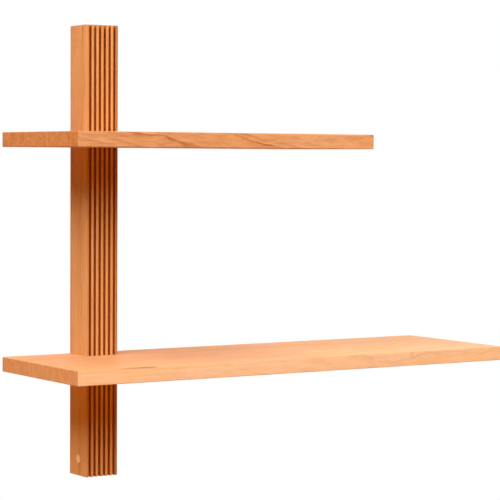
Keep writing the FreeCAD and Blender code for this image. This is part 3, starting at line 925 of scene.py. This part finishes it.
def add_softbox(studio, name, colour, turn, height, power):
    """A square soft lamp, turned to the left of the front and raised, that faces the shelves."""
    level = math.cos(height)
    away = Vector((-math.sin(turn) * level, -math.cos(turn) * level, math.sin(height)))
    lamp = bpy.data.lights.new(name, "AREA")
    lamp.size = studio.lamp_size
    lamp.energy = power
    lamp.color = colour
    light = bpy.data.objects.new(name, lamp)
    light.location = Vector(studio.lamp_aim) + away * studio.lamp_distance
    light.rotation_euler = (-away).to_track_quat("-Z", "Y").to_euler()
    bpy.context.scene.collection.objects.link(light)
    return light


def seen_directly(graph):
    """1 for what the camera sees, straight or by reflection, and 0 for light that falls on things."""
    path = graph.add("ShaderNodeLightPath")
    direct = path.out("Is Camera Ray").largest(path.out("Is Glossy Ray"))
    return direct.largest(path.out("Is Transmission Ray"))


class SPINE_OT_stage(bpy.types.Operator):
    """Build the camera, the lamps, the floor and the white surroundings"""
    bl_idname = "spine_bookshelf.stage"
    bl_label = "Studio"

    def execute(self, context):
        scene = context.scene
        studio = scene.spine_bookshelf.studio
        scene.view_settings.view_transform = "Standard"
        self.add_camera(scene, studio)
        self.add_world(scene, studio)
        self.add_floor(scene, studio)
        for side in ("left", "front", "right", "back"):
            values = [getattr(studio, f"{side}_{part}") for part in ("turn", "height", "power")]
            light = add_softbox(studio, f"{side}_lamp", studio.lamp_colour, *values)
            light.visible_glossy = side != "back"
        add_softbox(studio, "fill_lamp", studio.fill_colour, studio.left_turn, studio.fill_height,
                    studio.fill_power)
        return {"FINISHED"}

    def add_camera(self, scene, studio):
        camera = bpy.data.cameras.new("camera")
        camera.lens = studio.lens
        camera.sensor_width = studio.sensor
        eye = bpy.data.objects.new("camera", camera)
        eye.matrix_world = camera_place(studio)
        scene.collection.objects.link(eye)
        scene.camera = eye

    def add_world(self, scene, studio):
        world = bpy.data.worlds.new("studio")
        graph = empty_graph(world)
        colour = graph.mix(seen_directly(graph), (*studio.ambient, 1.0), WHITE)
        light = graph.add("ShaderNodeBackground", {"Color": colour, "Strength": 1.0})
        graph.add("ShaderNodeOutputWorld", {"Surface": light})
        scene.world = world

    def add_floor(self, scene, studio):
        reach, level = studio.floor_reach, studio.floor_height
        corners = [(x * reach, y * reach, level) for x, y in ((-1, -1), (1, -1), (1, 1), (-1, 1))]
        mesh = bpy.data.meshes.new("floor")
        mesh.from_pydata(corners, [], [(0, 1, 2, 3)])
        material = bpy.data.materials.new("floor")
        graph = empty_graph(material)
        place = graph.add("ShaderNodeTexCoord").out("Object")
        spot = graph.split(place)
        far = (spot.out("X") ** 2 + spot.out("Y") ** 2) ** 0.5
        close = graph.add("ShaderNodeMapping", {"Vector": place, "Scale": FLOOR_GRAIN})
        pale = graph.mix(graph.noise(close, 4.0), FLOOR_DARK, FLOOR_PALE)
        seen = seen_directly(graph)
        colour = graph.mix(seen, (*studio.bounce, 1.0), pale)
        matt = graph.add("ShaderNodeBsdfDiffuse", {"Color": colour})
        white = graph.add("ShaderNodeEmission", {"Color": WHITE, "Strength": 1.0})
        share = seen * (FLOOR_WHITE + (1 - FLOOR_WHITE) * far.rise(*FLOOR_FADE))
        surface = graph.add("ShaderNodeMixShader", {0: share, 1: matt, 2: white})
        graph.add("ShaderNodeOutputMaterial", {"Surface": surface})
        mesh.materials.append(material)
        floor = bpy.data.objects.new("floor", mesh)
        scene.collection.objects.link(floor)


# Settings

def setting(kind, subtype, **limits):
    """A function that makes settings of one kind, each from a name, a description and a default."""
    def make(name, description, default, **more):
        return kind(name=name, description=description, default=default, subtype=subtype, **limits, **more)
    return make


Length = setting(FloatProperty, "DISTANCE")
Angle = setting(FloatProperty, "ANGLE")
Power = setting(FloatProperty, "POWER", min=0)
Colour = setting(FloatVectorProperty, "COLOR", min=0, max=1)
Point = setting(FloatVectorProperty, "XYZ")


class PostSettings(bpy.types.PropertyGroup):
    flutes: IntProperty(name="Flutes", description="Number of flutes down the front", default=6, min=1)
    flute_width: Length("Flute width", "Width of a flute", 0.0046)
    flute_depth: Length("Flute depth", "Depth of a flute", 0.008)
    corner_round: Length("Corner round", "Rounding of the upright edges", 0.0015)
    mouth_round: Length("Mouth round", "Rounding of the flutes' edges", 0.0009)
    end_ease: Length("End ease", "Chamfer at both ends", 0.0008)
    housing_depth: Length("Housing depth", "Depth of the boards' housings in the sides", 0.006)
    housing_height: Length("Housing height", "Height of the boards' housings", 0.0161)
    bolt_hole: Length("Bolt hole", "Diameter of the bolts' holes", 0.0066)
    pilot_hole: Length("Pilot hole", "Diameter of the clip screws' holes", 0.0042)
    recess_play: Length("Recess play", "Play round the wall hardware", 0.001)
    lift: Length("Lift", "Room to lift the post off its clip", 0.008)
    web_slot: Length("Web slot", "Width of the slot for the bracket's web", 0.0045)


class WoodSettings(bpy.types.PropertyGroup):
    post: Colour("Post", "Colour of the post", screen_colour(226, 167, 115))
    upper: Colour("Upper board", "Colour of the upper board", screen_colour(219, 162, 118))
    lower: Colour("Lower board", "Colour of the lower board", screen_colour(245, 202, 166))
    plug: Colour("Plug", "Colour of the plug", screen_colour(254, 226, 190))
    late_tint: Colour("Late wood", "Tint of the dark lines between rings", (0.62, 0.42, 0.26))
    warm_tint: Colour("Warm patches", "Tint of the warmer patches", (1.0, 0.95, 0.82))
    upper_end: Colour(
        "Upper end grain", "Tint of the upper board's ends, which soak up more oil", (0.9, 0.77, 0.61))
    lower_end: Colour(
        "Lower end grain", "Tint of the lower board's ends, which soak up more oil", (0.81, 0.62, 0.455))
    # Painted shade on the boards' tops, paler towards the right end.
    painted_top_shade: Colour(
        "Board tops", "Tint of the boards' tops, which are oiled again", (0.805, 0.615, 0.473))
    # Painted shade on the boards' tops at the right end, paler than at the left.
    painted_top_shade_right: Colour(
        "Board tops, right", "Tint of the boards' tops at the right end", (0.795, 0.706, 0.622))
    # Painted shade on the post's front faces between the flutes.
    painted_front_shade: Colour("Ribs", "Tint of the post's front between the flutes", (0.94, 0.92, 0.8))
    vein_tint: Colour("Vein", "Tint of the dark vein on the lower board's front edge", (0.6, 0.46, 0.42))
    # Painted shade on the first and last rib of the post's front.
    painted_side_rib_shade: Colour(
        "Side ribs", "Tint of the first and last rib, which are handled most", (0.62, 0.6, 0.56))
    # Painted shade inside the post's flutes.
    painted_flute_shade: Colour("Flutes", "Tint of the flutes, where oil gathers", (0.58, 0.34, 0.07))
    ring_width: Length("Ring width", "Growth of one year", 0.005, min=0.0005)
    staves: IntProperty(name="Staves", description="Strips that a board is glued from", default=3, min=1)


class MetalSettings(bpy.types.PropertyGroup):
    zinc: Colour("Zinc plate", "Colour of the screws and washers", (0.66, 0.67, 0.68))
    galvanised: Colour("Galvanised steel", "Colour of the clips and the bracket", (0.52, 0.54, 0.56))
    brass: Colour("Brass", "Colour of the inserts", (0.72, 0.5, 0.18))
    bolt_diameter: Length("Bolt diameter", "Diameter of the bolts' thread", 0.006)
    bolt_pitch: Length("Bolt pitch", "Pitch of the bolts' thread", 0.001)
    bolt_head_height: Length("Bolt head", "Height of a shelf bolt's head", 0.006)
    lock_head_height: Length("Locking head", "Height of the locking screw's head", 0.004)
    clip_screw_diameter: Length("Clip screw diameter", "Diameter of the clip screws", 0.004)
    clip_screw_pitch: Length("Clip screw pitch", "Pitch of the clip screws' thread", 0.0018)


class StudioSettings(bpy.types.PropertyGroup):
    azimuth: Angle("Azimuth", "Turn of the camera to the left of the front", math.radians(33.03))
    elevation: Angle("Elevation", "Angle that the camera looks down by", math.radians(2.55))
    roll: Angle("Roll", "Tilt of the picture", math.radians(0.303))
    distance: Length("Distance", "From the camera to its target", 3.768)
    target: Point("Target", "Point in the middle of the picture", (0.2875, -0.1, -0.0012))
    lens: FloatProperty(name="Lens", description="Focal length in millimetres", default=148.1, min=1)
    sensor: FloatProperty(
        name="Sensor", description="Width of the picture in the camera, in millimetres", default=36.0,
        min=1)
    lamp_aim: Point("Lamp aim", "Point that the lamps face", (0.15, -0.14, 0.0))
    lamp_distance: Length("Lamp distance", "From a lamp to its aim", 3.6)
    lamp_size: Length("Lamp size", "Side of a lamp", 2.0)
    lamp_colour: Colour("Lamp colour", "Colour of the lamps", (1.0, 0.97, 0.93))
    left_turn: Angle("Left lamp turn", "Angle to the left of the front", math.radians(77))
    left_height: Angle("Left lamp height", "Angle above level", math.radians(44.6))
    left_power: Power("Left lamp", "Power of the left lamp", 128.0)
    front_turn: Angle("Front lamp turn", "Angle to the left of the front", math.radians(-8))
    front_height: Angle("Front lamp height", "Angle above level", math.radians(32.8))
    front_power: Power("Front lamp", "Power of the front lamp", 113.0)
    right_turn: Angle("Right lamp turn", "Angle to the left of the front", math.radians(-90))
    right_height: Angle("Right lamp height", "Angle above level", math.radians(62))
    right_power: Power("Right lamp", "Power of the right lamp", 93.0)
    back_turn: Angle("Back lamp turn", "Angle to the left of the front", math.radians(-155))
    back_height: Angle("Back lamp height", "Angle above level", math.radians(6))
    back_power: Power("Back lamp", "Power of the lamp behind the post", 80.0)
    fill_height: Angle("Fill lamp height", "Angle above level", math.radians(-8))
    fill_power: Power("Fill lamp", "Power of the warm lamp low on the left", 12.0)
    fill_colour: Colour("Fill colour", "Colour of the fill lamp", (1.0, 0.45, 0.02))
    ambient: Colour("Ambient", "Light from all round", (0.05, 0.024, 0.0))
    bounce: Colour("Bounce", "Share of the light that the floor sends up", (0.54, 0.25, 0.02))
    floor_height: Length("Floor", "Height of the floor", -1.3)
    floor_reach: Length("Floor reach", "Half of the floor's width", 12.0)


class BookshelfSettings(bpy.types.PropertyGroup):
    post: PointerProperty(type=PostSettings)
    wood: PointerProperty(type=WoodSettings)
    metal: PointerProperty(type=MetalSettings)
    studio: PointerProperty(type=StudioSettings)


class SPINE_PT_bookshelf(bpy.types.Panel):
    bl_idname = "SPINE_PT_bookshelf"
    bl_label = "Spine bookshelf"
    bl_space_type = "VIEW_3D"
    bl_region_type = "UI"
    bl_category = "Bookshelf"

    def draw(self, context):
        for operator in OPERATORS:
            self.layout.operator(operator.bl_idname)


OPERATORS = (SPINE_OT_post, SPINE_OT_boards, SPINE_OT_screws, SPINE_OT_fittings, SPINE_OT_stage)
CLASSES = (PostSettings, WoodSettings, MetalSettings, StudioSettings, BookshelfSettings,
           *OPERATORS, SPINE_PT_bookshelf)


def register():
    for item in CLASSES:
        bpy.utils.register_class(item)
    bpy.types.Scene.spine_bookshelf = PointerProperty(type=BookshelfSettings)


def unregister():
    del bpy.types.Scene.spine_bookshelf
    for item in reversed(CLASSES):
        bpy.utils.unregister_class(item)


def main():
    register()
    bpy.ops.spine_bookshelf.post()
    bpy.ops.spine_bookshelf.boards()
    bpy.ops.spine_bookshelf.screws()
    bpy.ops.spine_bookshelf.fittings()
    bpy.ops.spine_bookshelf.stage()


if __name__ == "__main__":
    main()
